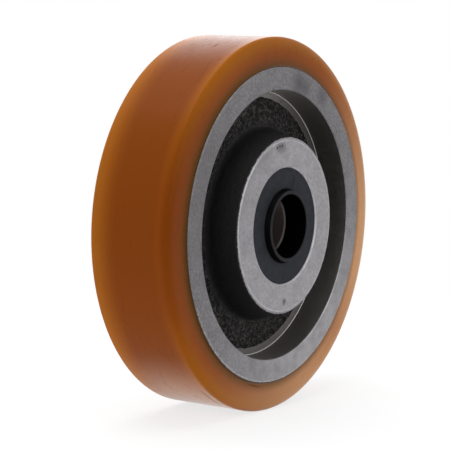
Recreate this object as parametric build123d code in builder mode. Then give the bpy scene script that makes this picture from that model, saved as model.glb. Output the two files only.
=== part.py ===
"""A 200 x 50 mm support wheel: a tread cast on an iron core that turns on two taper roller bearings."""
import os
from math import asin, atan2, cos, pi, radians, sin, sqrt, tan

from build123d import *

# Lengths are in millimetres and angles in degrees.
# The wheel stands upright, with its centre at the origin, and turns about Y. Its front faces -Y.

# Tread
WHEEL_D = 200.0
TREAD_THICKNESS = 15.9
TREAD_WIDTH = 48.2
TREAD_CORNER_WIDTH = 2.5
TREAD_CORNER_DEPTH = 5.7
TREAD_LIP_SETBACK = 0.6
TREAD_LIP_WALL = 0.4
TREAD_LIP_R = 1.0

# Rim of the core, machined on its faces and inside its recess
RIM_STANDOFF = 1.8
RIM_WALL = 12.1
RIM_STEP_DEPTH = 14.5
RIM_WALL_DRAFT = 0.5
RIM_CHAMFER = 0.5

# Web between rim and hub
WEB_STEP_INSET = 4.4
WEB_THICKNESS_AT_RIM = 19.0
WEB_THICKNESS_AT_HUB = 24.8
WEB_RIM_FILLET = 2.0
WEB_HUB_FILLET = 6.0

# Hub
HUB_D = 94.4
HUB_LENGTH = 60.0
HUB_DRAFT_ANGLE = 14.0
HUB_BEVEL_WIDTH = 1.7
HUB_BEVEL_DEPTH = 0.7
BORE_CHAMFER = 0.7
SHOULDER_HEIGHT = 4.0

# Taper roller bearings, size 30 x 62 x 17.25
BEARING_BORE_D = 30.0
BEARING_OUTSIDE_D = 62.0
CONE_WIDTH = 16.0
CONE_CHAMFER = 0.8
CONE_RIB_HEIGHT = 1.9
CONE_FRONT_RIB_HEIGHT = 0.9
CUP_WIDTH = 14.0
CUP_SETBACK = 3.25
CUP_CHAMFER = 0.8
ROLLER_COUNT = 17
ROLLER_D = 7.0
ROLLER_LENGTH = 11.0
ROLLER_HALF_TAPER = 1.8
ROLLER_PITCH_OFFSET = 0.2
ROLLER_FROM_CONE_FACE = 8.3
RACE_CLEARANCE = 0.05
RIB_CLEARANCE = 0.15

# Pressed cage of each bearing
CAGE_THICKNESS = 0.9
CAGE_OFFSET = 0.9
CAGE_END_BAR = 1.0
CAGE_FLANGE_DEPTH = 2.2
POCKET_CLEARANCE = 0.25

# Spacer tube between the two cones
SPACER_LENGTH = 8.4
SPACER_D = 38.0
SPACER_BORE_CLEARANCE = 0.1

# Moulded cap in each end of the hub, with a collar round the axle
CAP_RECESS = 0.7
CAP_THICKNESS = 3.0
CAP_SKIRT_WALL = 2.2
CAP_EDGE_CHAMFER = 0.3
COLLAR_HEIGHT = 3.2
COLLAR_AXLE_CLEARANCE = 2.0
COLLAR_TOP_WALL = 2.0
COLLAR_BASE_WALL = 3.0
COLLAR_LIP_R = 0.8
COLLAR_LIP_CHAMFER = 0.4
COLLAR_TUBE_WALL = 2.2
LABYRINTH_GAP = 0.3

# Places worked out from the sizes
WHEEL_R = WHEEL_D / 2
RIM_R = WHEEL_R - TREAD_THICKNESS
RIM_FACE = TREAD_WIDTH / 2 + RIM_STANDOFF
HUB_FACE = HUB_LENGTH / 2
SEAT_R = BEARING_OUTSIDE_D / 2
AXLE_R = BEARING_BORE_D / 2
CONE_INNER_FACE = SPACER_LENGTH / 2
CONE_FACE = CONE_INNER_FACE + CONE_WIDTH
CUP_INNER_FACE = CONE_FACE - CUP_WIDTH - CUP_SETBACK
CUP_FACE = CUP_INNER_FACE + CUP_WIDTH
CAP_FACE = HUB_FACE - CAP_RECESS
CAP_UNDERSIDE = CAP_FACE - CAP_THICKNESS
COLLAR_TOP = CAP_FACE + COLLAR_HEIGHT
COLLAR_END = CONE_FACE + LABYRINTH_GAP
COLLAR_BORE_R = AXLE_R + COLLAR_AXLE_CLEARANCE

# All rollers of a bearing, its cup and its cone are tapered to one point on the wheel's axis
ROLLER_R = ROLLER_D / 2
PITCH_R = (AXLE_R + SEAT_R) / 2 + ROLLER_PITCH_OFFSET
TAPER = radians(ROLLER_HALF_TAPER)
TILT = asin(PITCH_R * tan(TAPER) / ROLLER_R)
APEX_TO_ROLLER = PITCH_R / sin(TILT)
APEX = CONE_FACE - ROLLER_FROM_CONE_FACE - PITCH_R / tan(TILT)
ROLLER_START = APEX_TO_ROLLER - ROLLER_LENGTH / 2
ROLLER_END = APEX_TO_ROLLER + ROLLER_LENGTH / 2

SIDES = {"front": -1, "rear": 1}


def meridian(along, out):
    """The radius and distance from the wheel's middle of a point along and out from a roller's axis."""
    return along * sin(TILT) + out * cos(TILT), APEX + along * cos(TILT) - out * sin(TILT)


def on_side(side, *points):
    """The outline of a ring as points of radius and Y, from radii and distances from the wheel's middle."""
    return [(radius, side * distance) for radius, distance in points]


def roller_frame(side, turn):
    """The plane through a roller's axis, with X along it, and that axis."""
    radial = Vector(cos(turn), 0, sin(turn))
    along = radial * sin(TILT) + Vector(0, side * cos(TILT), 0)
    across = Vector(-sin(turn), 0, cos(turn))
    apex = Vector(0, side * APEX, 0)
    return Plane(origin=apex, x_dir=along, z_dir=across), Axis(apex, along)


def roller_turns():
    """The angle of each roller about the wheel's axis."""
    return [2 * pi * i / ROLLER_COUNT for i in range(ROLLER_COUNT)]


def make_ring(name, outline):
    """A turned ring from its closed outline of radius and Y."""
    with BuildPart() as ring:
        with BuildSketch(Plane.XY):
            with BuildLine():
                Polyline(*outline, close=True)
            make_face()
        revolve(axis=Axis.Y)
    ring.part.label = name
    return ring.part


def make_tread():
    """The tyre, cast round the rim: its sides curve in to the tread, and a thin lip climbs the rim."""
    side_y = TREAD_WIDTH / 2
    corner_r = WHEEL_R - TREAD_CORNER_DEPTH
    corner_y = side_y - TREAD_CORNER_WIDTH
    lip_r = RIM_R + TREAD_LIP_WALL
    lip_y = RIM_FACE - TREAD_LIP_SETBACK
    with BuildPart() as tread:
        with BuildSketch(Plane.XY):
            with BuildLine():
                Polyline((RIM_R, 0), (RIM_R, lip_y), (lip_r, lip_y))
                FilletPolyline((lip_r, lip_y), (lip_r, side_y), (corner_r, side_y), radius=TREAD_LIP_R)
                EllipticalCenterArc(
                    (corner_r, corner_y), TREAD_CORNER_DEPTH, TREAD_CORNER_WIDTH, arc_size=90
                )
                Line((WHEEL_R, corner_y), (WHEEL_R, 0))
                mirror(about=Plane.XZ)
            make_face()
        revolve(axis=Axis.Y)
    tread.part.label = "tread"
    return tread.part


def make_wheel_core():
    """The casting: hub with two bearing seats and a shoulder between them, web and machined rim."""
    rim_inside = RIM_R - RIM_WALL
    step_r = rim_inside - RIM_WALL_DRAFT
    step_y = RIM_FACE - RIM_STEP_DEPTH
    web_outside_r = step_r - WEB_STEP_INSET
    hub_r = HUB_D / 2
    hub_edge_y = HUB_FACE - HUB_BEVEL_DEPTH
    web_hub_y = WEB_THICKNESS_AT_HUB / 2
    root_r = hub_r + (hub_edge_y - web_hub_y) * tan(radians(HUB_DRAFT_ANGLE))
    with BuildPart() as core:
        with BuildSketch(Plane.XY):
            with BuildLine():
                Polyline(
                    (SEAT_R - SHOULDER_HEIGHT, 0),
                    (SEAT_R - SHOULDER_HEIGHT, CUP_INNER_FACE),
                    (SEAT_R, CUP_INNER_FACE),
                    (SEAT_R, HUB_FACE - BORE_CHAMFER),
                    (SEAT_R + BORE_CHAMFER, HUB_FACE),
                    (hub_r - HUB_BEVEL_WIDTH, HUB_FACE),
                    (hub_r, hub_edge_y),
                )
                FilletPolyline(
                    (hub_r, hub_edge_y),
                    (root_r, web_hub_y),
                    (web_outside_r, WEB_THICKNESS_AT_RIM / 2),
                    (step_r, step_y),
                    radius=[WEB_HUB_FILLET, WEB_RIM_FILLET],
                )
                Polyline(
                    (step_r, step_y),
                    (rim_inside, RIM_FACE - RIM_CHAMFER),
                    (rim_inside + RIM_CHAMFER, RIM_FACE),
                    (RIM_R - RIM_CHAMFER, RIM_FACE),
                    (RIM_R, RIM_FACE - RIM_CHAMFER),
                    (RIM_R, 0),
                )
                mirror(about=Plane.XZ)
            make_face()
        revolve(axis=Axis.Y)
    core.part.label = "wheel_core"
    return core.part


def make_cap(name, side):
    """A cap pressed into the hub: a disc, a skirt down to the cup and a collar round the axle."""
    collar_top_r = COLLAR_BORE_R + COLLAR_TOP_WALL
    collar_base_r = COLLAR_BORE_R + COLLAR_BASE_WALL
    lip_turn = atan2(COLLAR_HEIGHT, collar_base_r - collar_top_r)
    lip_reach = COLLAR_LIP_R * tan(lip_turn / 2)
    slant = sqrt(COLLAR_HEIGHT**2 + (collar_base_r - collar_top_r) ** 2)
    lip_foot_r = collar_top_r + (collar_base_r - collar_top_r) * lip_reach / slant
    lip_foot = COLLAR_TOP - COLLAR_HEIGHT * lip_reach / slant
    skirt_r = SEAT_R - CAP_SKIRT_WALL
    tube_r = COLLAR_BORE_R + COLLAR_TUBE_WALL
    with BuildPart() as cap:
        with BuildSketch(Plane.XY):
            with BuildLine():
                Polyline(
                    *on_side(
                        side,
                        (lip_foot_r, lip_foot),
                        (collar_base_r, CAP_FACE),
                        (SEAT_R - CAP_EDGE_CHAMFER, CAP_FACE),
                        (SEAT_R, CAP_FACE - CAP_EDGE_CHAMFER),
                        (SEAT_R, CUP_FACE),
                        (skirt_r, CUP_FACE),
                        (skirt_r, CAP_UNDERSIDE),
                        (tube_r, CAP_UNDERSIDE),
                        (tube_r, COLLAR_END),
                        (COLLAR_BORE_R, COLLAR_END),
                        (COLLAR_BORE_R, COLLAR_TOP - COLLAR_LIP_CHAMFER),
                        (COLLAR_BORE_R + COLLAR_LIP_CHAMFER, COLLAR_TOP),
                        (collar_top_r - lip_reach, COLLAR_TOP),
                    )
                )
                TangentArc(
                    *on_side(side, (collar_top_r - lip_reach, COLLAR_TOP), (lip_foot_r, lip_foot)),
                    tangent=(1, 0),
                )
            make_face()
        revolve(axis=Axis.Y)
    cap.part.label = name
    return cap.part


def make_cup(name, side):
    """The outer ring of a bearing, with its tapered raceway open to the outside."""
    slope = tan(TILT + TAPER)
    gap = RACE_CLEARANCE / cos(TILT + TAPER)

    def race_r(distance):
        return (distance - APEX) * slope + gap

    outline = on_side(
        side,
        (race_r(CUP_INNER_FACE), CUP_INNER_FACE),
        (SEAT_R - CUP_CHAMFER, CUP_INNER_FACE),
        (SEAT_R, CUP_INNER_FACE + CUP_CHAMFER),
        (SEAT_R, CUP_FACE),
        (race_r(CUP_FACE), CUP_FACE),
    )
    return make_ring(name, outline)


def make_cone(name, side):
    """The inner ring of a bearing: a tapered raceway between a small rib and the large guiding rib."""
    race_start = ROLLER_START - RIB_CLEARANCE
    race_end = ROLLER_END + RIB_CLEARANCE
    small_rib = meridian(race_start, CONE_FRONT_RIB_HEIGHT - race_start * tan(TAPER) - RACE_CLEARANCE)
    small_root = meridian(race_start, -race_start * tan(TAPER) - RACE_CLEARANCE)
    large_root = meridian(race_end, -race_end * tan(TAPER) - RACE_CLEARANCE)
    large_rib = meridian(race_end, CONE_RIB_HEIGHT - race_end * tan(TAPER) - RACE_CLEARANCE)
    outline = on_side(
        side,
        (AXLE_R + CONE_CHAMFER, CONE_INNER_FACE),
        (small_rib[0], CONE_INNER_FACE),
        small_rib,
        small_root,
        large_root,
        large_rib,
        (large_rib[0], CONE_FACE),
        (AXLE_R + CONE_CHAMFER, CONE_FACE),
        (AXLE_R, CONE_FACE - CONE_CHAMFER),
        (AXLE_R, CONE_INNER_FACE + CONE_CHAMFER),
    )
    return make_ring(name, outline)


def roller_outline(grow=0.0):
    """Half of a roller's section, along and out from its axis, or of the pocket that clears it by grow."""
    start = ROLLER_START - grow
    end = ROLLER_END + grow
    spread = grow / cos(TAPER)
    return [(start, 0), (end, 0), (end, end * tan(TAPER) + spread), (start, start * tan(TAPER) + spread)]


def roller_section(plane, grow=0.0):
    """The face that turns into one roller, or into its pocket, on a plane through the roller's axis."""
    with BuildSketch(plane) as section:
        with BuildLine():
            Polyline(*roller_outline(grow), close=True)
        make_face()
    return section.sketch


def make_rollers(name, side):
    """The tapered rollers of a bearing."""
    with BuildPart() as rollers:
        for turn in roller_turns():
            plane, axis = roller_frame(side, turn)
            revolve(roller_section(plane), axis=axis)
    rollers.part.label = name
    return rollers.part


def make_cage(name, side):
    """The cage: a conical strip outside the rollers' axes, pierced by a pocket for each, and a flange."""
    start = ROLLER_START - POCKET_CLEARANCE - CAGE_END_BAR
    end = ROLLER_END + POCKET_CLEARANCE + CAGE_END_BAR
    outside = CAGE_OFFSET + CAGE_THICKNESS
    flange_tip = CAGE_OFFSET - CAGE_FLANGE_DEPTH
    outline = on_side(
        side,
        meridian(start - CAGE_THICKNESS, outside),
        meridian(end, outside),
        meridian(end, CAGE_OFFSET),
        meridian(start, CAGE_OFFSET),
        meridian(start, flange_tip),
        meridian(start - CAGE_THICKNESS, flange_tip),
    )
    with BuildPart() as cage:
        with BuildSketch(Plane.XY):
            with BuildLine():
                Polyline(*outline, close=True)
            make_face()
        revolve(axis=Axis.Y)
        for turn in roller_turns():
            plane, axis = roller_frame(side, turn)
            revolve(roller_section(plane, POCKET_CLEARANCE), axis=axis, mode=Mode.SUBTRACT)
    cage.part.label = name
    return cage.part


def make_spacer():
    """The tube that holds the two cones apart on the axle."""
    bore_r = AXLE_R + SPACER_BORE_CLEARANCE
    spacer_r = SPACER_D / 2
    outline = [
        (bore_r, -CONE_INNER_FACE),
        (spacer_r, -CONE_INNER_FACE),
        (spacer_r, CONE_INNER_FACE),
        (bore_r, CONE_INNER_FACE),
    ]
    return make_ring("spacer_tube", outline)


os.makedirs("parts", exist_ok=True)

pieces = [make_tread(), make_wheel_core(), make_spacer()]
for side_name, side in SIDES.items():
    pieces.append(make_cap(f"{side_name}_cap", side))
    pieces.append(make_cup(f"{side_name}_bearing_cup", side))
    pieces.append(make_cone(f"{side_name}_bearing_cone", side))
    pieces.append(make_cage(f"{side_name}_roller_cage", side))
    pieces.append(make_rollers(f"{side_name}_rollers", side))

for piece in pieces:
    export_step(piece, f"parts/{piece.label}.step")
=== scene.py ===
"""The looks of a support wheel: an amber tread on a cast-iron core, with slate caps in its hub."""

import math
import random

import bpy
from mathutils import Matrix, Vector, noise


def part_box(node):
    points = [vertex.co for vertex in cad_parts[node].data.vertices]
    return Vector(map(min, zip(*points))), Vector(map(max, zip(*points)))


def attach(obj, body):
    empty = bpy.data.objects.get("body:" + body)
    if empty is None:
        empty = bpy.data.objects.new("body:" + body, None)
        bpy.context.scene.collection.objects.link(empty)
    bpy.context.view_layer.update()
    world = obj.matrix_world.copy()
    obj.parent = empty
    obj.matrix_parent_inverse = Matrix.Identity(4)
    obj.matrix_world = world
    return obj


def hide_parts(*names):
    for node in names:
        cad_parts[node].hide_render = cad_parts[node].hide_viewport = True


# Lengths are in metres and angles in degrees. The wheel turns about Y, and its front faces -Y.

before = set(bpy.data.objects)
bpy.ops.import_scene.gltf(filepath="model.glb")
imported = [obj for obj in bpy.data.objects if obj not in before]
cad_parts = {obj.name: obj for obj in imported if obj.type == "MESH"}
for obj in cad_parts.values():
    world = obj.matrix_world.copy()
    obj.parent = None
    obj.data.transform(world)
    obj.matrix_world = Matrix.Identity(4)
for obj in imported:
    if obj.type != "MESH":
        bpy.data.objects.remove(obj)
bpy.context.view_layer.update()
MM = 0.001

# Sizes read from the frame
WHEEL_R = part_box("tread")[1].x
RIM_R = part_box("wheel_core")[1].x
HUB_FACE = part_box("wheel_core")[1].y
CAP_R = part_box("front_cap")[1].x

# Sizes that the boxes of the nodes do not give: faces as Y, and edges as radii
TREAD_SIDE = 24.1 * MM
TREAD_EDGE = 21.6 * MM
RIM_FACE = 25.9 * MM
RIM_STEP = 11.4 * MM
WEB_OUTSIDE_R = 67.1 * MM
HUB_R = 47.2 * MM
HUB_BEVEL_R = 45.5 * MM
SMOOTH_WEB_R = 52.6 * MM
CAP_FACE = 29.3 * MM
COLLAR_BASE_R = 20.0 * MM
COLLAR_TOP = 32.5 * MM
AXLE_R = 15.0 * MM

# The step in the recess as it looks: a slightly smaller edge, and a face nearer the middle than in the frame
STEP_EDGE_R = 71.35 * MM
STEP_FACE = 10.65 * MM

# Corners that turn further than SHARP_TURN are softened
SHARP_TURN = 20.0
CORNER_R = 0.18 * MM
CORNER_HOLD = 0.12 * MM

# How many slices each turned piece has
TREAD_TURNS = 500
CORE_TURNS = 390
CAP_TURNS = 288


def colour(red, green, blue):
    """A colour from 0 to 255 a channel, as a shader socket takes it."""
    shares = [channel / 255 for channel in (red, green, blue)]
    linear = [share / 12.92 if share < 0.043 else ((share + 0.055) / 1.055) ** 2.4 for share in shares]
    return (*linear, 1.0)


# Outlines of the turned pieces, read from the frame


def section(node):
    """A turned node's outline as points of radius and Y, in order, from its edges on the XY plane."""
    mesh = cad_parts[node].data
    near = 1e-6

    def spot(index):
        place = mesh.vertices[index].co
        return (round(place.x, 6), round(place.y, 6)) if abs(place.z) < near and place.x > 0 else None

    beside = {}
    for edge in mesh.edges:
        ends = [spot(index) for index in edge.vertices]
        if None not in ends and ends[0] != ends[1]:
            beside.setdefault(ends[0], set()).add(ends[1])
            beside.setdefault(ends[1], set()).add(ends[0])
    start = min(beside)
    loop = [start]
    following = min(beside[start])
    while following != start:
        previous = loop[-1]
        loop.append(following)
        following = next(p for p in beside[following] if p != previous)
    points = [Vector(p) for p in loop]
    area = sum(a.cross(b) for a, b in zip(points, points[1:] + points[:1]))
    return points if area > 0 else points[::-1]


def turning(before, here, after):
    """How far the outline turns at a point, in degrees."""
    return math.degrees(abs((here - before).angle_signed(after - here)))


def tangents(points):
    """The directions in which the outline enters and leaves each point; at a sharp corner they differ."""
    made = []
    for i, here in enumerate(points):
        before = here - points[i - 1]
        after = points[(i + 1) % len(points)] - here
        if turning(points[i - 1], here, points[(i + 1) % len(points)]) > SHARP_TURN:
            made.append((before.normalized(), after.normalized()))
        elif before.length > 3 * after.length:
            made.append((before.normalized(), before.normalized()))
        elif after.length > 3 * before.length:
            made.append((after.normalized(), after.normalized()))
        else:
            blend = (before.normalized() + after.normalized()).normalized()
            made.append((blend, blend))
    return made


def divided(points, step):
    """The outline with its arcs smoothed and no two points further apart than step(point) says."""
    directions = tangents(points)
    made = []
    for i, start in enumerate(points):
        end = points[(i + 1) % len(points)]
        length = (end - start).length
        leave = directions[i][1] * length
        arrive = directions[(i + 1) % len(points)][0] * length
        count = max(1, math.ceil(length / step((start + end) / 2)))
        for k in range(count):
            t = k / count
            made.append(
                start * (2 * t**3 - 3 * t**2 + 1)
                + leave * (t**3 - 2 * t**2 + t)
                + end * (3 * t**2 - 2 * t**3)
                + arrive * (t**3 - t**2)
            )
    return made


def softened(points):
    """The outline with a small round at each sharp corner, held by a point on either side."""
    made = []
    for i, here in enumerate(points):
        before = points[i - 1]
        after = points[(i + 1) % len(points)]
        turn = turning(before, here, after)
        if turn <= SHARP_TURN:
            made.append(here)
            continue
        back = (before - here).normalized()
        on = (after - here).normalized()
        room = 0.3 * min((before - here).length, (after - here).length)
        reach = min(CORNER_R * math.tan(math.radians(turn / 2)), room)
        hold = min(CORNER_HOLD, room)
        middle = here + (back + on) * reach * 0.29
        made += [here + back * (reach + hold), here + back * reach, middle]
        made += [here + on * reach, here + on * (reach + hold)]
    return made


def lathe(name, outline, turns, shift=None, mark=None):
    """A closed turned mesh. shift moves each point along its normal, and mark gives it a worn share."""
    count = len(outline)
    normals = []
    for i in range(count):
        along = (outline[(i + 1) % count] - outline[i - 1]).normalized()
        normals.append(Vector((along.y, -along.x)))
    vertices = []
    worn = []
    for k in range(turns):
        angle = 2 * math.pi * k / turns
        for point, normal in zip(outline, normals):
            place = point
            if shift:
                place = point + normal * shift(point, angle)
            if mark:
                worn.append(mark(point, angle))
            vertices.append((place.x * math.cos(angle), place.y, place.x * math.sin(angle)))
    faces = []
    for k in range(turns):
        here = k * count
        there = (k + 1) % turns * count
        for i in range(count):
            j = (i + 1) % count
            faces.append((here + i, there + i, there + j, here + j))
    mesh = bpy.data.meshes.new(name)
    mesh.from_pydata(vertices, [], faces)
    mesh.shade_smooth()
    if mark:
        mesh.attributes.new("worn", "FLOAT", "POINT").data.foreach_set("value", worn)
    piece = bpy.data.objects.new(name, mesh)
    bpy.context.scene.collection.objects.link(piece)
    return piece


def fade(value, low, high):
    """0 below low and 1 above high, with a smooth change between."""
    t = min(1.0, max(0.0, (value - low) / (high - low)))
    return t * t * (3 - 2 * t)


def on_wheel(radius, y, angle):
    """A point from its radius, its Y and its angle in degrees, which is 0 at +X and 90 at the top."""
    turn = math.radians(angle)
    return Vector((radius * math.cos(turn), y, radius * math.sin(turn)))


# Marks on the surfaces

# Skid marks: angle, Y and length in millimetres, and depth as a share of SCUFF_DEPTH
SKID_MARKS = [
    (110.2, -5.2, 6.5, 1.0),
    (109.7, -0.2, 4.5, 0.7),
    (104.3, 8.1, 4.2, 0.6),
    (111.0, 1.7, 5.0, 0.4),
    (109.6, 10.4, 3.5, 0.5),
    (99.1, 8.6, 4.0, 0.5),
    (111.0, -17.9, 10.0, 0.3),
    (120.2, -18.3, 4.5, 0.6),
    (103.2, 17.0, 3.8, 0.4),
    (107.5, -8.5, 3.8, 0.5),
    (106.0, 3.5, 3.5, 0.3),
    (114.5, 6.0, 4.0, 0.3),
    (-118.7, -17.7, 26.0, 1.1),
    (-121.5, 0.5, 1.6, 0.6),
    (-128.0, 6.0, 3.0, 0.3),
    (-112.0, -4.0, 4.0, 0.3),
]
FAINT_MARKS = 22
FAINT_SEED = 7
SCUFF_DEPTH = 0.22 * MM
SCUFF_WIDTH = 0.42 * MM

# The cut in the tread's side, which lies nearly along a circle of FLAW_R
FLAW_R = 86.2 * MM
FLAW_ANGLE = -101.5
FLAW_LENGTH = 15.0 * MM
FLAW_WIDTH = 0.32 * MM
FLAW_DEPTH = 0.24 * MM
FLAW_SLANT = 0.65 * MM
FLAW_MARGIN = 1.3 * MM

# Pits in the hub's face: radius in millimetres, angle, and size in millimetres
HUB_PITS = [
    (43.1, 104.9, 0.7), (43.2, 101.3, 0.7), (43.2, 98.1, 0.6), (40.8, -88.8, 0.8), (36.3, -117.3, 0.6),
    (44.0, 20.0, 0.5), (38.0, -40.0, 0.6), (41.5, 172.0, 0.5), (35.0, 60.0, 0.5),
]

# Round marks in the caps' faces: radius in millimetres, angle, and depth in millimetres
CAP_MARK_R = 3.6 * MM
CAP_MARKS = [(24.9, 79.8, 0.35), (24.9, -94.4, 0.10)]

# The rough skin of the casting, with its lumps in waves a metre
SKIN_DEPTH = 0.20 * MM
SKIN_WAVES = 420
FINE_SKIN_WAVES = 900
FINE_SKIN_SHARE = 0.6
HUB_EDGE_DEPTH = 0.08 * MM
HUB_EDGE_WAVES = 260


def scuffs():
    """Skid marks on the tread, as angle, Y, half length in radians, depth and slant."""
    draw = random.Random(FAINT_SEED)
    marks = list(SKID_MARKS)
    for _ in range(FAINT_MARKS):
        place = (draw.uniform(-85, 95), draw.uniform(-20, 20))
        marks.append((*place, draw.uniform(2, 5), draw.uniform(0.1, 0.25)))
    return [
        (math.radians(angle), y * MM, length * MM / 2 / WHEEL_R, deep, draw.uniform(-0.01, 0.01))
        for angle, y, length, deep in marks
    ]


# Turned pieces


def make_tread():
    """The tyre, with skid marks on its face and a cut in its front side."""
    marks = scuffs()

    def step(point):
        if point.x > WHEEL_R - 1.0 * MM:
            return 0.45 * MM
        if abs(point.x - FLAW_R) < FLAW_MARGIN and point.y < 0:
            return 0.26 * MM
        return 5.0 * MM if point.x < RIM_R + 0.2 * MM else 2.4 * MM

    def scuff(point, angle):
        """How deep the skid marks are at a point, from 0 to 1."""
        deep = 0.0
        for mark_angle, mark_y, half_length, mark_depth, slant in marks:
            away = (angle - mark_angle + math.pi) % (2 * math.pi) - math.pi
            if abs(away) < half_length and abs(point.y - mark_y) < 4 * SCUFF_WIDTH:
                across = (point.y - mark_y - slant * away * WHEEL_R) / SCUFF_WIDTH
                deep = max(deep, mark_depth * math.exp(-across * across) * (1 - (away / half_length) ** 2))
        return deep

    def cut(point, angle):
        """How deep the cut in the side is at a point, from 0 to 1."""
        away = (math.degrees(angle) - FLAW_ANGLE + 180) % 360 - 180
        along = math.radians(away) * FLAW_R / (FLAW_LENGTH / 2)
        if abs(along) > 1:
            return 0.0
        across = (point.x - FLAW_R - FLAW_SLANT * along) / FLAW_WIDTH
        return math.exp(-across * across) * (1 - along * along)

    def worn(point, angle):
        if point.x > WHEEL_R - 0.3 * MM:
            return scuff(point, angle)
        return cut(point, angle) if point.y < -TREAD_SIDE + 0.5 * MM else 0.0

    def shift(point, angle):
        return -worn(point, angle) * (SCUFF_DEPTH if point.x > FLAW_R + 5 * MM else FLAW_DEPTH)

    # The flat side gets a point on either side of the cut, so that only the strip between them is fine
    points = section("tread")
    outline = []
    for start, end in zip(points, points[1:] + points[:1]):
        outline.append(start)
        if start.y < 0 and abs(start.y - end.y) < 0.01 * MM:
            ends = [radius for radius in (FLAW_R - FLAW_MARGIN, FLAW_R + FLAW_MARGIN)
                    if min(start.x, end.x) < radius < max(start.x, end.x)]
            outline += [Vector((radius, start.y)) for radius in sorted(ends, reverse=start.x > end.x)]
    piece = lathe("tread_tyre", divided(softened(outline), step), TREAD_TURNS, shift, worn)
    piece.data.materials.append(polyurethane())
    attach(piece, "wheel")
    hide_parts("tread")


def make_core():
    """The casting: turned faces and bores, and between rim and hub the rough skin of the sand mould."""

    def cast(point):
        """How rough the skin is at a point: 1 on the web, less on the hub's cone, 0 on turned faces."""
        outside = fade(point.x, WEB_OUTSIDE_R + 0.3 * MM, WEB_OUTSIDE_R - 0.9 * MM)
        off_face = fade(abs(point.y), HUB_FACE - 0.7 * MM, HUB_FACE - 1.6 * MM)
        off_hub = fade(point.x, HUB_R - 0.6 * MM, HUB_R - 0.3 * MM)
        coarse = 0.35 + 0.65 * fade(point.x, SMOOTH_WEB_R - 1.5 * MM, SMOOTH_WEB_R + 1.5 * MM)
        return outside * off_face * off_hub * coarse

    def step(point):
        if point.x < CAP_R + 0.1 * MM or point.x > RIM_R - 0.1 * MM:
            return 5.0 * MM
        if cast(point) > 0:
            return 0.8 * MM if point.y < 0 else 1.4 * MM
        return 1.0 * MM if point.x < HUB_R and point.y < 0 else 3.0 * MM

    pits = [(on_wheel(radius * MM, -HUB_FACE, angle), size * MM) for radius, angle, size in HUB_PITS]

    def shift(point, angle):
        place = on_wheel(point.x, point.y, math.degrees(angle))
        moved = 0.0
        rough = cast(point)
        if rough > 0:
            fine = FINE_SKIN_SHARE * noise.noise(place * FINE_SKIN_WAVES)
            moved += rough * SKIN_DEPTH * (noise.noise(place * SKIN_WAVES) + fine)
        if abs(point.y) > HUB_FACE - 1e-5 and CAP_R + 0.6 * MM < point.x:
            for pit, size in pits:
                away = (place - pit).length / size
                if away < 1.6:
                    moved -= 0.5 * size * math.exp(-2.5 * away * away)
        if abs(point.x - HUB_R) < 0.5 * MM and abs(point.y) > HUB_FACE - 0.8 * MM:
            moved += HUB_EDGE_DEPTH * noise.noise(place * HUB_EDGE_WAVES)
        return moved

    outline = section("wheel_core")
    for point in outline:
        if abs(abs(point.y) - RIM_STEP) < 0.05 * MM and point.x > WEB_OUTSIDE_R - 1 * MM:
            point.x = min(point.x, STEP_EDGE_R)
            point.y = math.copysign(STEP_FACE, point.y)
    piece = lathe("core_casting", divided(softened(outline), step), CORE_TURNS, shift)
    piece.data.materials.append(cast_iron())
    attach(piece, "wheel")
    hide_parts("wheel_core")


def make_cap(node, side):
    """A moulded cap, with the round marks that the mould's ejector pins left on its face."""
    marks = [(on_wheel(radius * MM, side * CAP_FACE, angle), depth * MM)
             for radius, angle, depth in CAP_MARKS]

    def step(point):
        on_face = abs(abs(point.y) - CAP_FACE) < 0.05 * MM and point.x > COLLAR_BASE_R
        return 0.45 * MM if on_face else 1.2 * MM

    def shift(point, angle):
        moved = 0.0
        on_face = abs(abs(point.y) - CAP_FACE) < 0.01 * MM
        if on_face and COLLAR_BASE_R + 0.3 * MM < point.x < CAP_R - 0.5 * MM:
            place = on_wheel(point.x, point.y, math.degrees(angle))
            for mark, depth in marks:
                away = (place - mark).length
                moved -= depth * fade(away, CAP_MARK_R + 0.3 * MM, CAP_MARK_R - 0.3 * MM)
        return moved

    piece = lathe(node + "_moulding", divided(softened(section(node)), step), CAP_TURNS, shift)
    piece.data.materials.append(slate_plastic())
    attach(piece, "wheel")
    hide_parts(node)


# Materials


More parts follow.
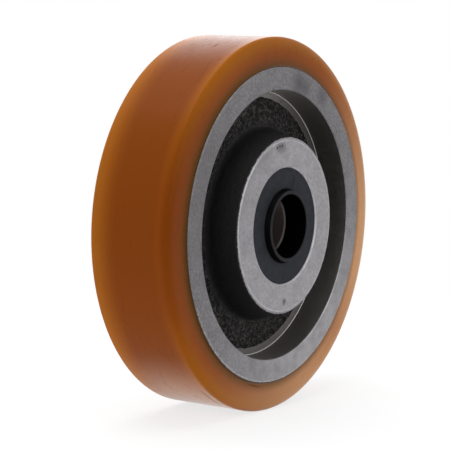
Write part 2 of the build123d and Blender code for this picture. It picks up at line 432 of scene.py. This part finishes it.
class Shader:
    """A material's nodes, made one by one. An input that is a socket is linked, and any other is set."""

    def __init__(self, name, **settings):
        self.material = bpy.data.materials.new(name)
        self.material.use_nodes = True
        self.tree = self.material.node_tree
        self.surface = self.tree.nodes["Principled BSDF"]
        self.set(self.surface, settings)
        self.place = self.node("ShaderNodeTexCoord").outputs["Object"]

    def set(self, node, inputs):
        for name, value in inputs.items():
            socket = node.inputs[name]
            if isinstance(value, bpy.types.NodeSocket):
                self.tree.links.new(value, socket)
            else:
                socket.default_value = value

    def node(self, kind, inputs=None, **settings):
        made = self.tree.nodes.new(kind)
        for name, value in settings.items():
            setattr(made, name, value)
        self.set(made, inputs or {})
        return made

    def sum(self, operation, first, second=0.0, third=0.0):
        """The result of a Math node."""
        node = self.node("ShaderNodeMath", {0: first, 1: second, 2: third}, operation=operation)
        return node.outputs[0]

    def grain(self, scale, detail=3.0, rough=0.55, stretch=None):
        """Noise from 0 to 1, with scale in waves a metre, stretched along the object's axes if asked."""
        place = self.place
        if stretch:
            place = self.node("ShaderNodeMapping", {"Vector": place, "Scale": stretch}).outputs[0]
        inputs = {"Vector": place, "Scale": scale, "Detail": detail, "Roughness": rough}
        return self.node("ShaderNodeTexNoise", inputs).outputs["Fac"]

    def span(self, value, low, high, to_low=0.0, to_high=1.0):
        """The value's span from low to high, mapped smoothly to another."""
        inputs = {"Value": value, "From Min": low, "From Max": high, "To Min": to_low, "To Max": to_high}
        return self.node("ShaderNodeMapRange", inputs, interpolation_type="SMOOTHSTEP").outputs["Result"]

    def mix(self, share, first, second):
        """Two colours mixed."""
        node = self.node("ShaderNodeMix", data_type="RGBA")
        self.set(node, {0: share, 6: first, 7: second})
        return node.outputs[2]

    def axes(self):
        """The place's X, Y and Z."""
        return self.node("ShaderNodeSeparateXYZ", {"Vector": self.place}).outputs

    def radius(self):
        """The distance from the wheel's axis."""
        flat = self.node("ShaderNodeVectorMath", {0: self.place, 1: (1, 0, 1)}, operation="MULTIPLY")
        flat = flat.outputs[0]
        return self.node("ShaderNodeVectorMath", {0: flat}, operation="LENGTH").outputs["Value"]

    def depth(self):
        """The distance from the wheel's middle plane."""
        return self.sum("ABSOLUTE", self.axes()["Y"])

    def stain(self, centre, size, share=1.0):
        """A soft round patch about a point."""
        away = self.node("ShaderNodeVectorMath", {0: self.place, 1: centre}, operation="DISTANCE")
        return self.span(away.outputs["Value"], size, 0.0, 0.0, share)

    def bump(self, height, distance, strength=1.0, under=None):
        """Bumps of that height, over the normal of earlier ones if given."""
        inputs = {"Height": height, "Distance": distance, "Strength": strength}
        if under:
            inputs["Normal"] = under
        return self.node("ShaderNodeBump", inputs).outputs["Normal"]

    def finish(self, **sockets):
        """Sets or links the surface's sockets and gives the material."""
        self.set(self.surface, {name.replace("_", " "): value for name, value in sockets.items()})
        return self.material


def polyurethane():
    """Amber cast polyurethane, olive where the rim shows through, with painted light: yellower edges and
    corners, pale patches of painted sheen and reflection, and painted shade on its left.
    """
    shader = Shader(
        "amber_polyurethane",
        **{"IOR": 1.5, "Specular IOR Level": 0.03, "Subsurface Weight": 0.15, "Subsurface Scale": 0.003},
    )
    shader.surface.inputs["Subsurface Radius"].default_value = (1.0, 0.35, 0.1)
    radius = shader.radius()
    cloudy = shader.span(shader.grain(16, 3), 0.3, 0.7)
    base = shader.mix(cloudy, colour(132, 64, 12), colour(142, 72, 16))
    height = shader.axes()["Z"]
    lit = shader.sum("MAXIMUM", shader.span(height, 5 * MM, 75 * MM),
                     shader.span(height, -30 * MM, -85 * MM))
    # Painted highlight: the tread's edges are yellower, most towards the top and the bottom.
    edge = shader.span(radius, WHEEL_R - 12 * MM, WHEEL_R - 2 * MM)
    edge = shader.sum("MULTIPLY", edge, shader.sum("MULTIPLY_ADD", lit, 0.6, 0.15))
    base = shader.mix(edge, base, colour(150, 84, 14))
    # Painted highlight: the corners between face and sides are yellower towards the top and the bottom.
    corner = shader.sum("MULTIPLY", shader.span(radius, WHEEL_R - 8 * MM, WHEEL_R - 2.5 * MM),
                        shader.span(shader.depth(), TREAD_EDGE - 4.0 * MM, TREAD_EDGE + 1.5 * MM))
    corner = shader.sum("MULTIPLY", corner, shader.sum("MULTIPLY", lit, 0.4))
    base = shader.mix(corner, base, colour(166, 100, 20))
    face = shader.span(radius, WHEEL_R - 1.6 * MM, WHEEL_R - 0.3 * MM)
    middle = shader.span(shader.depth(), TREAD_EDGE + 1 * MM, TREAD_EDGE - 7 * MM)
    face = shader.sum("MULTIPLY", face, shader.sum("MULTIPLY", middle, 0.9))
    base = shader.mix(face, base, colour(122, 59, 12))
    # Painted sheen: pale pink patches on the front side, towards the right and the lower right.
    painted_side_sheen = shader.sum("MAXIMUM", shader.stain(on_wheel(98 * MM, -TREAD_SIDE, -8), 120 * MM, 0.95),
                       shader.stain(on_wheel(98 * MM, -TREAD_SIDE, -68), 110 * MM, 0.75))
    painted_side_sheen = shader.sum("MULTIPLY", painted_side_sheen,
                       shader.span(shader.depth(), TREAD_EDGE, TREAD_SIDE - 0.6 * MM))
    base = shader.mix(painted_side_sheen, base, colour(199, 150, 108))
    # Painted shade: the left of the side and corner is darker.
    deep = shader.stain(on_wheel(94 * MM, -TREAD_EDGE, 176), 95 * MM, 0.85)
    deep = shader.sum("MULTIPLY", deep, shader.span(shader.depth(), TREAD_EDGE - 4 * MM, TREAD_EDGE))
    base = shader.mix(deep, base, colour(117, 54, 5))
    by_rim = shader.span(radius, RIM_R + 7.0 * MM, RIM_R, 0.0, 0.85)
    base = shader.mix(by_rim, base, colour(98, 65, 30))
    lip = shader.span(shader.depth(), TREAD_SIDE + 0.10 * MM, TREAD_SIDE + 0.35 * MM)
    base = shader.mix(shader.sum("MULTIPLY", lip, 0.55), base, colour(84, 60, 32))
    # Painted reflection: the face is pale and pinkish low down, where it faces the floor.
    painted_floor_reflection = shader.stain(on_wheel(WHEEL_R, -8 * MM, -106), 64 * MM, 0.92)
    painted_floor_reflection = shader.sum("MULTIPLY", painted_floor_reflection,
                       shader.span(shader.depth(), TREAD_EDGE + 1.5 * MM, TREAD_EDGE - 2 * MM))
    base = shader.mix(painted_floor_reflection, base, colour(226, 176, 143))
    joint = shader.span(radius, RIM_R + 0.38 * MM, RIM_R + 0.28 * MM)
    base = shader.mix(joint, base, colour(30, 22, 16))
    # Painted highlight: the rear edge of the tread is yellower.
    painted_rear_highlight = shader.span(shader.axes()["Y"], 7 * MM, 25 * MM)
    painted_rear_highlight = shader.sum("MULTIPLY", painted_rear_highlight, shader.span(radius, WHEEL_R - 9 * MM, WHEEL_R - 3 * MM, 0.0, 0.8))
    base = shader.mix(painted_rear_highlight, base, colour(168, 100, 30))
    worn = shader.node("ShaderNodeAttribute", attribute_name="worn").outputs["Fac"]
    base = shader.mix(shader.sum("MULTIPLY", worn, 0.9), base, colour(84, 34, 8))
    specks = shader.span(shader.grain(800, 2), 0.68, 0.76, 0.0, 0.35)
    base = shader.mix(specks, base, colour(104, 46, 8))
    rub = shader.grain(60, 4, 0.6, (1, 4, 1))
    rough = shader.sum("ADD", shader.span(rub, 0.3, 0.75, 0.26, 0.38), shader.sum("MULTIPLY", worn, 0.4))
    fine = shader.bump(shader.grain(500, 2), 0.00002, 0.7)
    sheer = shader.node("ShaderNodeLayerWeight", {"Blend": 0.5}).outputs["Facing"]
    polish = shader.sum("MULTIPLY", shader.sum("POWER", sheer, 3.0),
                        shader.span(shader.axes()["Y"], -4 * MM, 22 * MM, 0.8, 0.6))
    shader.set(shader.surface, {"Coat Roughness": 0.28, "Coat IOR": 1.5})
    return shader.finish(Base_Color=base, Roughness=rough, Normal=fine, Coat_Weight=polish, Coat_Normal=fine)


def cast_iron():
    """Grey iron: turned bright on rim, hub and bores, and under black paint between them."""
    shader = Shader("machined_and_painted_iron", **{"IOR": 1.5, "Specular IOR Level": 0.15})
    radius = shader.radius()
    depth = shader.depth()
    ragged = shader.sum("MULTIPLY_ADD", shader.grain(420, 4, 0.7), 2.4 * MM, -1.2 * MM)
    edge = shader.sum("ADD", radius, ragged)
    inside_rim = shader.span(edge, WEB_OUTSIDE_R + 0.6 * MM, WEB_OUTSIDE_R + 0.3 * MM)
    outside_hub = shader.span(radius, HUB_BEVEL_R + 0.3 * MM, HUB_BEVEL_R + 0.5 * MM)
    chipped = shader.sum("MULTIPLY_ADD", shader.grain(650, 3), 0.6 * MM, -0.3 * MM)
    chipped = shader.sum("MULTIPLY_ADD", shader.axes()["X"], 0.006, chipped)
    under_face = shader.span(shader.sum("ADD", depth, chipped), HUB_FACE - 0.55 * MM, HUB_FACE - 0.70 * MM)
    paint = shader.sum("MULTIPLY", shader.sum("MULTIPLY", inside_rim, outside_hub), under_face)

    mottle = shader.span(shader.grain(620, 4, 0.7), 0.32, 0.68)
    clouds = shader.span(shader.grain(110, 4, 0.6), 0.35, 0.72)
    on_hub = shader.span(radius, HUB_R + 1 * MM, HUB_R)
    bright = shader.mix(mottle, colour(100, 98, 100), colour(128, 126, 128))
    # Painted highlight: the rim's face is lighter towards the lower right.
    painted_rim_highlight = shader.stain(on_wheel(78 * MM, -RIM_FACE, -60), 120 * MM, 0.9)
    bright = shader.mix(painted_rim_highlight, bright, colour(156, 154, 156))
    hub_mottle = shader.mix(mottle, colour(142, 140, 143), colour(160, 158, 161))
    bright = shader.mix(shader.sum("MULTIPLY", on_hub, 0.85), bright, hub_mottle)
    cloudy = shader.sum("MULTIPLY", clouds, shader.sum("MULTIPLY_ADD", on_hub, -0.16, 0.34))
    bright = shader.mix(cloudy, bright, colour(82, 80, 82))
    bevel = shader.sum("MULTIPLY", on_hub, shader.span(depth, HUB_FACE - 0.10 * MM, HUB_FACE - 0.22 * MM))
    bright = shader.mix(shader.sum("MULTIPLY", bevel, 0.4), bright, colour(118, 115, 119))
    # Partly rubbed bare metal, partly painted highlight: bright rings on the hub's bevel and round its bore.
    rubbed_and_highlit = shader.sum("MULTIPLY", shader.span(radius, HUB_BEVEL_R - 0.6 * MM, HUB_BEVEL_R - 0.2 * MM),
                        shader.span(radius, HUB_BEVEL_R + 0.5 * MM, HUB_BEVEL_R + 0.2 * MM))
    rim_of_bore = shader.span(radius, CAP_R + 0.9 * MM, CAP_R + 0.6 * MM)
    rubbed_and_highlit = shader.sum("MULTIPLY", on_hub, shader.sum("MAXIMUM", rubbed_and_highlit, rim_of_bore))
    rubbed_and_highlit = shader.sum("MULTIPLY", rubbed_and_highlit, shader.span(shader.grain(220, 3), 0.35, 0.6, 0.1, 0.55))
    bright = shader.mix(rubbed_and_highlit, bright, colour(190, 188, 191))
    hub_shade = shader.stain(on_wheel(47 * MM, -HUB_FACE, 122), 17 * MM, 0.4)
    bright = shader.mix(hub_shade, bright, colour(104, 102, 105))
    rim_shade = shader.stain(on_wheel(78 * MM, -RIM_FACE, 160), 62 * MM, 0.45)
    bright = shader.mix(rim_shade, bright, colour(92, 90, 91))
    for place, size, share in (
        (on_wheel(77.0 * MM, -RIM_FACE, 78.5), 10 * MM, 0.85),
        (on_wheel(76.6 * MM, -RIM_FACE, 73.0), 7 * MM, 0.6),
        (on_wheel(79.3 * MM, -RIM_FACE, 59.8), 10 * MM, 0.7),
        (on_wheel(42.8 * MM, -HUB_FACE, 102.5), 5.0 * MM, 0.6),
        (on_wheel(42.4 * MM, -HUB_FACE, 97.5), 4.6 * MM, 0.6),
        (on_wheel(72.6 * MM, -RIM_FACE, -174.2), 1.5 * MM, 0.95),
        (on_wheel(72.6 * MM, -RIM_FACE, 98.4), 1.5 * MM, 0.95),
        (on_wheel(40.8 * MM, -HUB_FACE, -88.8), 3.0 * MM, 0.9),
    ):
        bright = shader.mix(shader.stain(place, size, share), bright, colour(76, 74, 76))
    # Painted light and shade in the recess: the step is darker, as in shade, and step and wall are lighter
    # towards the top.
    recess = shader.span(depth, RIM_FACE - 0.3 * MM, RIM_FACE - 0.8 * MM)
    recess = shader.sum("MULTIPLY", recess, shader.span(radius, SMOOTH_WEB_R, SMOOTH_WEB_R + 1 * MM))
    wall = shader.span(radius, STEP_EDGE_R - 0.2 * MM, STEP_EDGE_R - 0.1 * MM)
    painted_light_on_step = shader.stain(on_wheel(69 * MM, -STEP_FACE, 95), 48 * MM)
    step = shader.mix(painted_light_on_step, colour(78, 74, 72), colour(122, 118, 116))
    painted_light_on_wall = shader.stain(on_wheel(STEP_EDGE_R, -16 * MM, 90), 62 * MM, 0.95)
    side = shader.mix(painted_light_on_wall, colour(146, 141, 138), colour(226, 219, 213))
    shade = shader.mix(wall, step, side)
    bright = shader.mix(shader.sum("MULTIPLY", recess, 0.85), bright, shade)
    # Painted highlight: a bright line along the step's edge.
    ring = shader.sum("MULTIPLY", shader.span(radius, STEP_EDGE_R - 0.40 * MM, STEP_EDGE_R - 0.25 * MM),
                      shader.span(depth, STEP_FACE + 0.15 * MM, STEP_FACE + 0.05 * MM))
    bright = shader.mix(ring, bright, colour(190, 188, 190))
    for place, size in (
        (on_wheel(69 * MM, -STEP_FACE, 70.6), 1.2 * MM),
        (on_wheel(43.1 * MM, -HUB_FACE, 104.9), 1.3 * MM),
        (on_wheel(43.2 * MM, -HUB_FACE, 101.3), 1.2 * MM),
        (on_wheel(43.2 * MM, -HUB_FACE, 98.1), 1.2 * MM),
    ):
        bright = shader.mix(shader.stain(place, size), bright, colour(14, 13, 12))
    # Painted highlight: the rim's outer edge is bright on its lower half, broken up by the mottle.
    rim_edge_highlight = shader.sum("MULTIPLY", shader.span(radius, RIM_R - 1.3 * MM, RIM_R - 0.5 * MM),
                            shader.span(shader.axes()["Z"], -20 * MM, -70 * MM, 0.0, 0.5))
    bright = shader.mix(shader.sum("MULTIPLY", rim_edge_highlight, mottle), bright, colour(196, 194, 196))

    coarse = shader.span(radius, SMOOTH_WEB_R - 1 * MM, SMOOTH_WEB_R + 2 * MM)
    grit = shader.grain(600, 4, 0.75)
    # Painted glints: light grey specks on the black paint over the coarse skin's lumps.
    painted_glints = shader.sum("MULTIPLY", shader.span(grit, 0.47, 0.59), coarse)
    black = shader.mix(painted_glints, colour(13, 12, 12), colour(82, 79, 78))
    holes = shader.sum("MULTIPLY", shader.span(shader.grain(280, 3, 0.6), 0.45, 0.38), coarse)
    black = shader.mix(holes, black, colour(4, 4, 4))

    base = shader.mix(paint, bright, black)
    metallic = shader.sum("SUBTRACT", 1.0, paint)
    bright_rough = shader.span(shader.grain(800, 3), 0.3, 0.7, 0.40, 0.52)
    rough = shader.sum("ADD", bright_rough, shader.sum("MULTIPLY", paint, 0.12))
    turned = shader.bump(shader.grain(1300, 3, 0.6), 0.00002, 0.6)
    lumps = shader.sum("MULTIPLY", grit, shader.sum("MULTIPLY_ADD", coarse, 0.85, 0.15))
    skin = shader.bump(shader.sum("MULTIPLY", lumps, paint), 0.0025, 1.0, turned)
    return shader.finish(Base_Color=base, Metallic=metallic, Roughness=rough, Normal=skin)


def slate_plastic():
    """Moulded slate-grey plastic with a fine satin grain."""
    shader = Shader("slate_plastic", **{"IOR": 1.5, "Specular IOR Level": 0.025})
    base = shader.mix(shader.span(shader.grain(260, 2), 0.35, 0.65), colour(43, 44, 49), colour(48, 49, 54))
    # Painted shade: the collar is near black, with its lip kept grey.
    collar_shade = shader.span(shader.radius(), COLLAR_BASE_R + 0.3 * MM, COLLAR_BASE_R - 0.1 * MM)
    base = shader.mix(collar_shade, base, colour(2, 2, 3))
    lip = shader.sum("MULTIPLY", collar_shade,
                     shader.span(shader.depth(), COLLAR_TOP - 0.35 * MM, COLLAR_TOP - 0.15 * MM))
    base = shader.mix(lip, base, colour(42, 42, 45))
    rough = shader.span(shader.grain(400, 2), 0.3, 0.7, 0.36, 0.46)
    satin = shader.bump(shader.grain(1600, 2), 0.00002, 0.6)
    return shader.finish(Base_Color=base, Roughness=rough, Normal=satin)


def bearing_steel():
    """Ground bearing steel, with fine rings from the grinding wheel, a film of oil, and a painted highlight
    on the bore's chamfer.
    """
    shader = Shader("bearing_steel", **{"IOR": 1.5, "Specular IOR Level": 0.1})
    base = shader.mix(shader.span(shader.grain(90, 3), 0.3, 0.7), colour(30, 28, 28), colour(40, 38, 37))
    radius = shader.radius()
    # Painted highlight: a lighter ring on the bore's chamfer.
    chamfer_highlight = shader.span(radius, AXLE_R + 0.75 * MM, AXLE_R + 0.65 * MM)
    base = shader.mix(chamfer_highlight, base, colour(64, 60, 58))
    oily = shader.span(radius, AXLE_R + 0.10 * MM, AXLE_R + 0.03 * MM)
    base = shader.mix(oily, base, colour(98, 91, 88))
    metallic = shader.sum("MULTIPLY_ADD", oily, -0.75, 1.0)
    rings = shader.node("ShaderNodeTexWave", {"Vector": shader.place, "Scale": 900.0, "Distortion": 1.0},
                        wave_type="RINGS", rings_direction="Y").outputs["Fac"]
    rough = shader.span(rings, 0.0, 1.0, 0.22, 0.34)
    steel = shader.bump(rings, 0.00001, 0.4)
    return shader.finish(Base_Color=base, Metallic=metallic, Roughness=rough, Normal=steel)


def pressed_steel():
    """Bright sheet or tube steel with faint drawing marks."""
    shader = Shader("pressed_steel", Metallic=1.0)
    cloudy = shader.span(shader.grain(120, 3), 0.3, 0.7)
    base = shader.mix(cloudy, colour(120, 119, 118), colour(150, 149, 148))
    drawn = shader.grain(300, 3, 0.6, (1, 12, 1))
    rough = shader.span(drawn, 0.3, 0.7, 0.3, 0.45)
    return shader.finish(Base_Color=base, Roughness=rough, Normal=shader.bump(drawn, 0.00002, 0.5))


def dress_bearings():
    """Steel for the bearings and the spacer, which stay as they are."""
    steel = bearing_steel()
    sheet = pressed_steel()
    for name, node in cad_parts.items():
        if "bearing" in name or name.endswith("rollers"):
            finish = steel
        elif name.endswith("cage") or name == "spacer_tube":
            finish = sheet
        else:
            continue
        node.data.materials.clear()
        node.data.materials.append(finish)


# Floor, light and camera

FLOOR_R = 1.6
FLOOR_CLEAR_R = 0.22
FLOOR_FADE_R = 0.75
FLOOR_WHITE = 0.75

# The side of the studio that is bright, and how bright its dim side is
WHITE_SIDE = Vector((0.75, 0.62, 0.25)).normalized()
DIM_LEVEL = 0.22


def make_floor():
    """A pale floor under the wheel, which fades into the white world around it."""
    mesh = bpy.data.meshes.new("floor")
    height = -WHEEL_R
    corners = [(-FLOOR_R, -FLOOR_R), (FLOOR_R, -FLOOR_R), (FLOOR_R, FLOOR_R), (-FLOOR_R, FLOOR_R)]
    mesh.from_pydata([(x, y, height) for x, y in corners], [], [(0, 1, 2, 3)])
    floor = bpy.data.objects.new("floor", mesh)
    bpy.context.scene.collection.objects.link(floor)
    white = (0.93, 0.93, 0.93, 1)
    shader = Shader("pale_floor", **{"Base Color": white, "Roughness": 0.9, "Specular IOR Level": 0.1})
    path = shader.node("ShaderNodeLightPath").outputs
    looked = shader.sum("MAXIMUM", path["Is Camera Ray"], path["Is Transmission Ray"])
    seen = shader.sum("MAXIMUM", shader.sum("MULTIPLY", looked, FLOOR_WHITE), path["Is Glossy Ray"])
    plain = shader.node("ShaderNodeEmission", {"Color": (1, 1, 1, 1), "Strength": 1.0})
    lit = shader.node("ShaderNodeMixShader", {0: seen, 1: shader.surface.outputs[0], 2: plain.outputs[0]})
    clear = shader.node("ShaderNodeBsdfTransparent")
    away = shader.node("ShaderNodeVectorMath", {0: shader.place}, operation="LENGTH").outputs["Value"]
    gone = shader.span(away, FLOOR_CLEAR_R, FLOOR_FADE_R)
    mixed = shader.node("ShaderNodeMixShader", {0: gone, 1: lit.outputs[0], 2: clear.outputs[0]})
    output = shader.tree.nodes["Material Output"]
    shader.tree.links.new(mixed.outputs[0], output.inputs["Surface"])
    mesh.materials.append(shader.material)


def make_world():
    """A soft grey surround for the light, and plain white where the camera, gloss or glass looks at it."""
    world = bpy.data.worlds.new("studio")
    bpy.context.scene.world = world
    world.use_nodes = True
    nodes = world.node_tree.nodes
    links = world.node_tree.links
    nodes.clear()
    path = nodes.new("ShaderNodeLightPath")
    looked = nodes.new("ShaderNodeMath")
    looked.operation = "MAXIMUM"
    links.new(path.outputs["Is Camera Ray"], looked.inputs[0])
    links.new(path.outputs["Is Transmission Ray"], looked.inputs[1])
    seen = nodes.new("ShaderNodeMath")
    seen.operation = "MAXIMUM"
    links.new(looked.outputs[0], seen.inputs[0])
    links.new(path.outputs["Is Glossy Ray"], seen.inputs[1])
    direction = nodes.new("ShaderNodeTexCoord")
    split = nodes.new("ShaderNodeVectorMath")
    split.operation = "DOT_PRODUCT"
    split.inputs[1].default_value = WHITE_SIDE
    links.new(direction.outputs["Generated"], split.inputs[0])
    behind = nodes.new("ShaderNodeMapRange")
    behind.interpolation_type = "SMOOTHSTEP"
    behind.inputs["From Min"].default_value = -0.35
    behind.inputs["From Max"].default_value = 0.75
    behind.inputs["To Min"].default_value = DIM_LEVEL
    behind.inputs["To Max"].default_value = 1.0
    links.new(split.outputs["Value"], behind.inputs["Value"])
    strength = nodes.new("ShaderNodeMix")
    strength.data_type = "FLOAT"
    links.new(seen.outputs[0], strength.inputs[0])
    links.new(behind.outputs["Result"], strength.inputs[2])
    strength.inputs[3].default_value = 1.0
    background = nodes.new("ShaderNodeBackground")
    background.inputs["Color"].default_value = (1, 1, 1, 1)
    links.new(strength.outputs[0], background.inputs["Strength"])
    output = nodes.new("ShaderNodeOutputWorld")
    links.new(background.outputs[0], output.inputs["Surface"])


# Each lamp's name, place, size and power in watts
LAMPS = [
    ("top_lamp", (-0.2, 0.1, 1.1), 1.0, 9.0),
    ("front_lamp", (0.2, -1.3, 0.5), 0.9, 5.0),
    ("back_lamp", (1.0, 0.65, 0.75), 0.9, 3.0),
    ("left_lamp", (-1.3, -0.1, 0.4), 0.9, 5.0),
]


def make_lamp(name, place, size, power):
    """A soft square lamp that faces the wheel."""
    lamp = bpy.data.lights.new(name, "AREA")
    lamp.size = size
    lamp.energy = power
    lamp_object = bpy.data.objects.new(name, lamp)
    lamp_object.location = place
    lamp_object.rotation_euler = (-Vector(place)).to_track_quat("-Z", "Y").to_euler()
    bpy.context.scene.collection.objects.link(lamp_object)


# The camera's place, in degrees and metres, and its lens and centre, in pixels of the picture

AZIMUTH = -56.754
ELEVATION = 5.174
ROLL = 1.835
DISTANCE = 922.4 * MM
FOCAL_PIXELS = 1705.6
IMAGE_PIXELS = 450
SENSOR_WIDTH = 36.0
CENTRE_RIGHT = 13.67
CENTRE_DOWN = -3.36


def make_camera():
    """The photograph's view of the wheel."""
    turn = math.radians(AZIMUTH)
    rise = math.radians(ELEVATION)
    back = Vector((math.sin(turn) * math.cos(rise), -math.cos(turn) * math.cos(rise), math.sin(rise)))
    right = back.cross(Vector((0, 0, -1))).normalized()
    up = back.cross(right)
    roll = math.radians(ROLL)
    level_right = right * math.cos(roll) + up * math.sin(roll)
    level_up = up * math.cos(roll) - right * math.sin(roll)
    lens = bpy.data.cameras.new("camera")
    lens.sensor_width = SENSOR_WIDTH
    lens.lens = FOCAL_PIXELS / IMAGE_PIXELS * SENSOR_WIDTH
    lens.shift_x = -CENTRE_RIGHT / IMAGE_PIXELS
    lens.shift_y = CENTRE_DOWN / IMAGE_PIXELS
    camera = bpy.data.objects.new("camera", lens)
    turned = Matrix((level_right, level_up, back)).transposed().to_4x4()
    camera.matrix_world = Matrix.Translation(back * DISTANCE) @ turned
    bpy.context.scene.collection.objects.link(camera)
    bpy.context.scene.camera = camera


make_tread()
make_core()
make_cap("front_cap", -1)
make_cap("rear_cap", 1)
dress_bearings()
make_floor()
make_world()
for lamp in LAMPS:
    make_lamp(*lamp)
make_camera()
bpy.context.scene.view_settings.view_transform = "Standard"
